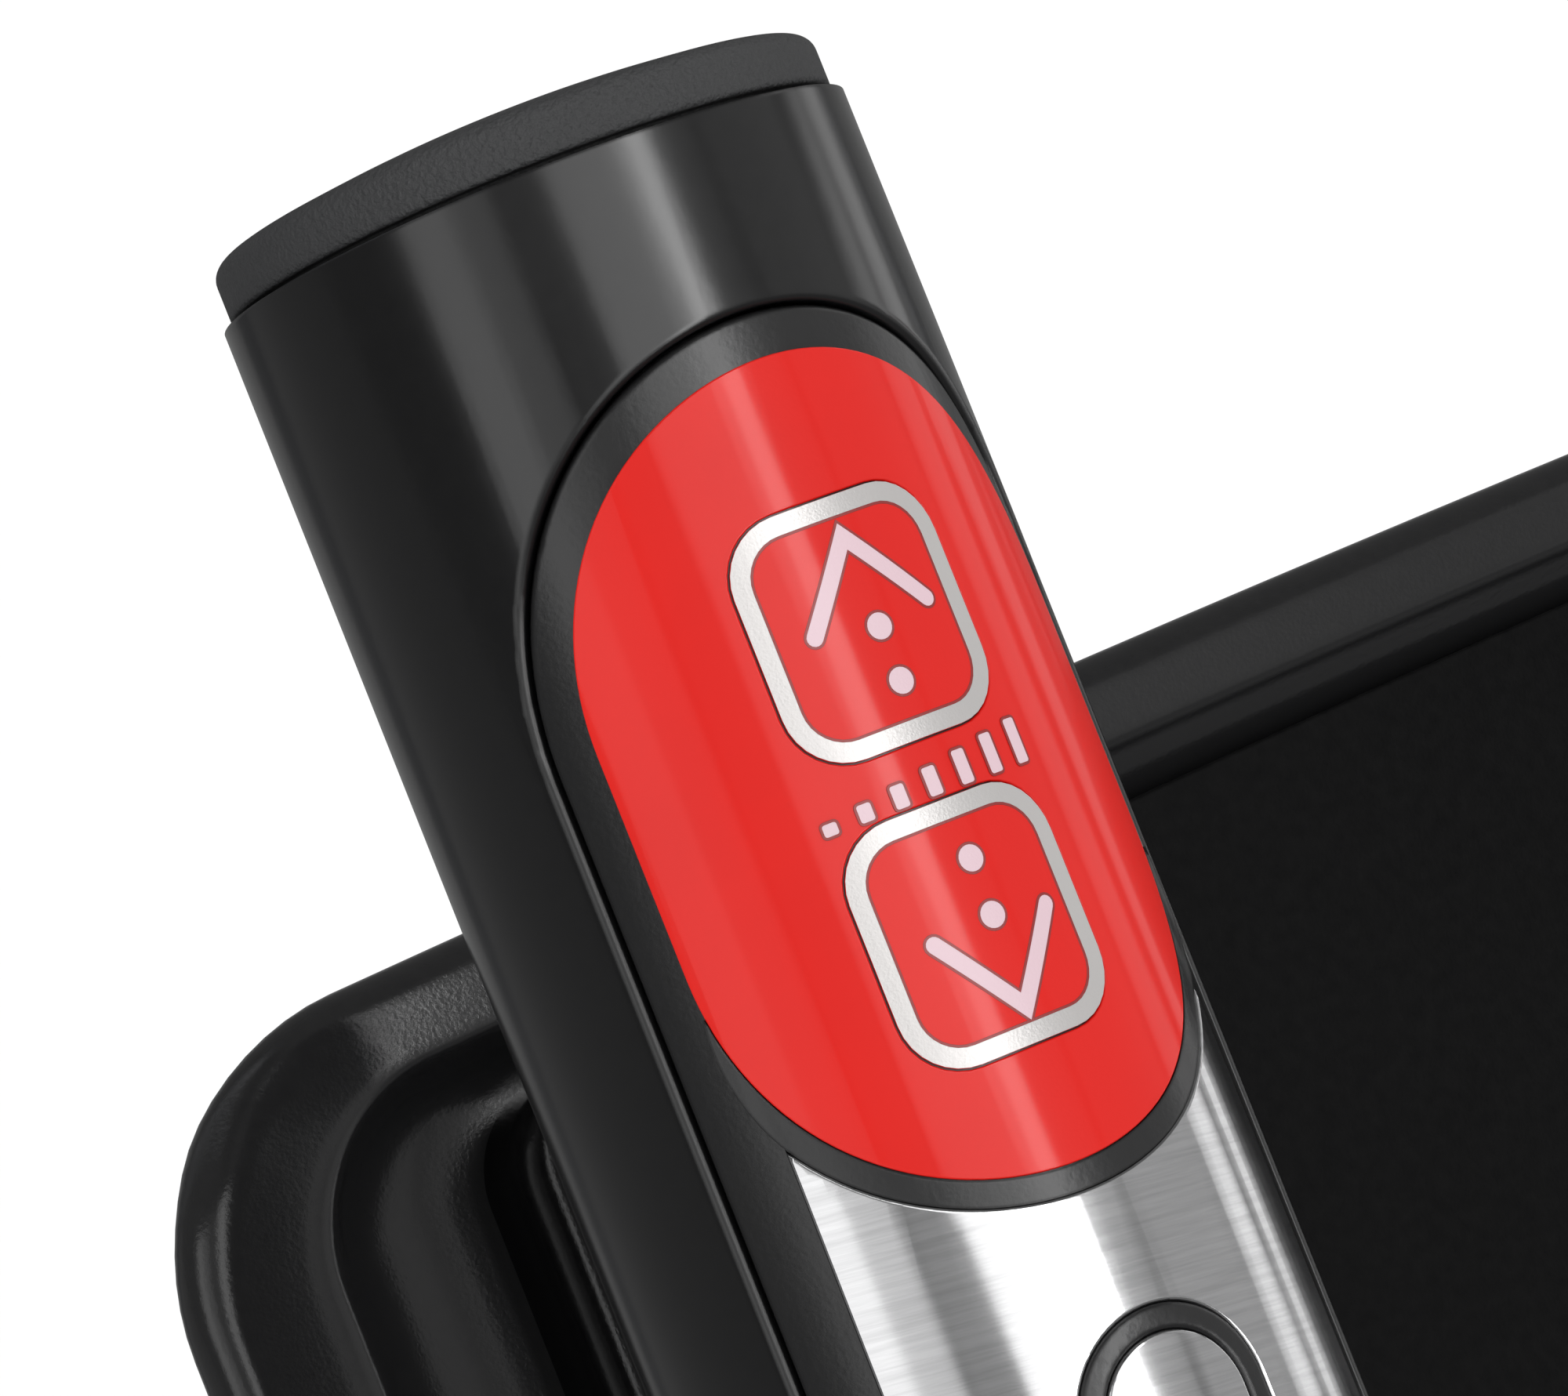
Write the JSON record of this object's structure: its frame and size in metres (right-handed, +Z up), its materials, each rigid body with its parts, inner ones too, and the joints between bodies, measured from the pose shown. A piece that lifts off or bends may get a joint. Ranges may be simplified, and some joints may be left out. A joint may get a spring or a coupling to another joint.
{
  "type": "vertical climber",
  "caption": "Upright climbing trainer: two arms with pedals and hand posts slide in opposite steps on a motor-tilted mast with fixed keypad grips and a console.",
  "frame": {"origin": "on the floor, at the middle of the machine's footprint, with the mast upright", "axes": "+X to the user's right, +Y away from the user, +Z up"},
  "size_m": [0.616, 1.226, 1.8248],
  "materials": {
    "frame_paint": "satin powder coat, charcoal",
    "mast_paint": "satin powder coat, near black",
    "rail_steel": "ground steel, lightly oiled",
    "carriage_alloy": "sand-cast aluminium, bead blasted",
    "post_chrome": "polished plate",
    "shaft_steel": "turned steel",
    "flywheel_iron": "machined cast iron",
    "foot_rubber": "moulded rubber",
    "wheel_rubber": "moulded polyurethane",
    "belt_rubber": "ribbed belt",
    "tread_plastic": "glass-filled nylon with a moulded tread",
    "cover_plastic": "textured ABS",
    "shell_gloss": "high-gloss black",
    "carrier_satin": "satin black",
    "cap_texture": "spark-eroded texture, charcoal",
    "red_film": "printed membrane, semi-gloss red",
    "contact_steel": "stainless, brushed round the grip",
    "board_green": "printed circuit board",
    "sleeve_foam": "closed-cell foam",
    "console_satin": "satin black ABS",
    "console_glass": "smoked front panel",
    "knob_plastic": "moulded nylon",
    "magnet_steel": "nickel plated"
  },
  "bodies": {
    "base": {"front_crossbar": "frame_paint", "rear_crossbar": "frame_paint", "base_spine": "frame_paint", "rubber_feet": "foot_rubber", "base_pins": "shaft_steel", "wheel_forks": "frame_paint"},
    "left_wheel_turn": {"left_wheel": "wheel_rubber"},
    "right_wheel_turn": {"right_wheel": "wheel_rubber"},
    "column": {"mast": "mast_paint", "guide_rails": "rail_steel", "mast_cap": "cover_plastic", "shaft_bearings": "shaft_steel", "drive_belt": "belt_rubber", "drive_cover": "cover_plastic", "brake_magnet": "magnet_steel", "handlebar": "frame_paint", "handlebar_clamp": "carriage_alloy", "column_fasteners": "shaft_steel", "console_bezel": "console_satin", "console_back": "console_satin", "console_panel": "console_glass", "console_bracket": "frame_paint", "left_grip_shell": "shell_gloss", "left_grip_end_cap": "cap_texture", "left_keypad_carrier": "carrier_satin", "left_keypad_overlay": "red_film", "left_pulse_plate": "contact_steel", "left_pulse_island": "contact_steel", "left_keypad_board": "board_green", "right_grip_shell": "shell_gloss", "right_grip_end_cap": "cap_texture", "right_keypad_carrier": "carrier_satin", "right_keypad_overlay": "red_film", "right_pulse_plate": "contact_steel", "right_pulse_island": "contact_steel", "right_keypad_board": "board_green"},
    "drive": {"drive_pulley": "carriage_alloy", "flywheel": "flywheel_iron"},
    "idler": {"idler_pulley": "carriage_alloy"},
    "actuator": {"actuator_tube": "carriage_alloy", "incline_motor": "cover_plastic"},
    "rod": {"actuator_rod": "post_chrome"},
    "left_arm": {"left_carriage": "carriage_alloy", "left_slide_liner": "cover_plastic", "left_arm_frame": "frame_paint", "left_pedal": "tread_plastic"},
    "left_post": {"left_hand_post": "post_chrome", "left_hand_sleeve": "sleeve_foam"},
    "left_knob": {"left_clamp_knob": "knob_plastic"},
    "left_up_button": {"left_key_up": "red_film"},
    "left_down_button": {"left_key_down": "red_film"},
    "right_arm": {"right_carriage": "carriage_alloy", "right_slide_liner": "cover_plastic", "right_arm_frame": "frame_paint", "right_pedal": "tread_plastic"},
    "right_post": {"right_hand_post": "post_chrome", "right_hand_sleeve": "sleeve_foam"},
    "right_knob": {"right_clamp_knob": "knob_plastic"},
    "right_up_button": {"right_key_up": "red_film"},
    "right_down_button": {"right_key_down": "red_film"}
  },
  "joints": [
    {"name": "incline", "type": "hinge", "parent": "base", "child": "column", "pos_m": [0, 0, 0.115], "axis": [-1, 0, 0], "range_deg": [0, 12]},
    {"name": "actuator_swing", "type": "hinge", "parent": "base", "child": "actuator", "pos_m": [0, 0.4, 0.1], "axis": [-1, 0, 0], "range_deg": [0, 7.2]},
    {"name": "actuator_extend", "type": "slide", "parent": "actuator", "child": "rod", "axis": [0, -0.5526, 0.8334], "range_m": [-0.072, 0]},
    {"name": "left_climb", "type": "slide", "parent": "column", "child": "left_arm", "axis": [0, 0, 1], "range_m": [-0.29, 0.09]},
    {"name": "right_climb", "type": "slide", "parent": "column", "child": "right_arm", "axis": [0, 0, 1], "range_m": [-0.09, 0.29]},
    {"name": "drive_spin", "type": "hinge", "parent": "column", "child": "drive", "pos_m": [0, 0.062, 0.23], "axis": [0, 1, 0], "range_deg": [-352, 110]},
    {"name": "idler_spin", "type": "hinge", "parent": "column", "child": "idler", "pos_m": [0, 0.062, 0.93], "axis": [0, 1, 0], "range_deg": [-352, 110]},
    {"name": "left_reach", "type": "slide", "parent": "left_arm", "child": "left_post", "axis": [0, 0, 1], "range_m": [-0.1, 0.1]},
    {"name": "left_knob_turn", "type": "hinge", "parent": "left_arm", "child": "left_knob", "pos_m": [-0.288, 0, 1.157], "axis": [-1, 0, 0], "range_deg": [0, 270]},
    {"name": "left_up_key", "type": "slide", "parent": "column", "child": "left_up_button", "axis": [0, 0.7314, -0.682], "range_m": [0, 0.0006], "stiffness_N_per_m": 1500},
    {"name": "left_down_key", "type": "slide", "parent": "column", "child": "left_down_button", "axis": [0, 0.7314, -0.682], "range_m": [0, 0.0006], "stiffness_N_per_m": 1500},
    {"name": "left_wheel_spin", "type": "hinge", "parent": "base", "child": "left_wheel_turn", "pos_m": [-0.225, -0.585, 0.032], "axis": [1, 0, 0], "continuous": true},
    {"name": "right_reach", "type": "slide", "parent": "right_arm", "child": "right_post", "axis": [0, 0, 1], "range_m": [-0.1, 0.1]},
    {"name": "right_knob_turn", "type": "hinge", "parent": "right_arm", "child": "right_knob", "pos_m": [0.288, 0, 0.957], "axis": [1, 0, 0], "range_deg": [0, 270]},
    {"name": "right_up_key", "type": "slide", "parent": "column", "child": "right_up_button", "axis": [0, 0.7314, -0.682], "range_m": [0, 0.0006], "stiffness_N_per_m": 1500},
    {"name": "right_down_key", "type": "slide", "parent": "column", "child": "right_down_button", "axis": [0, 0.7314, -0.682], "range_m": [0, 0.0006], "stiffness_N_per_m": 1500},
    {"name": "right_wheel_spin", "type": "hinge", "parent": "base", "child": "right_wheel_turn", "pos_m": [0.225, -0.585, 0.032], "axis": [1, 0, 0], "continuous": true}
  ],
  "couplings": [
    {"joint": "actuator_swing", "follows": "incline", "ratio": 0.588},
    {"joint": "actuator_extend", "follows": "incline", "m_per_rad": -0.336},
    {"joint": "right_climb", "follows": "left_climb", "ratio": -1},
    {"joint": "drive_spin", "follows": "left_climb", "rad_per_m": 21.097},
    {"joint": "idler_spin", "follows": "left_climb", "rad_per_m": 21.097}
  ]
}
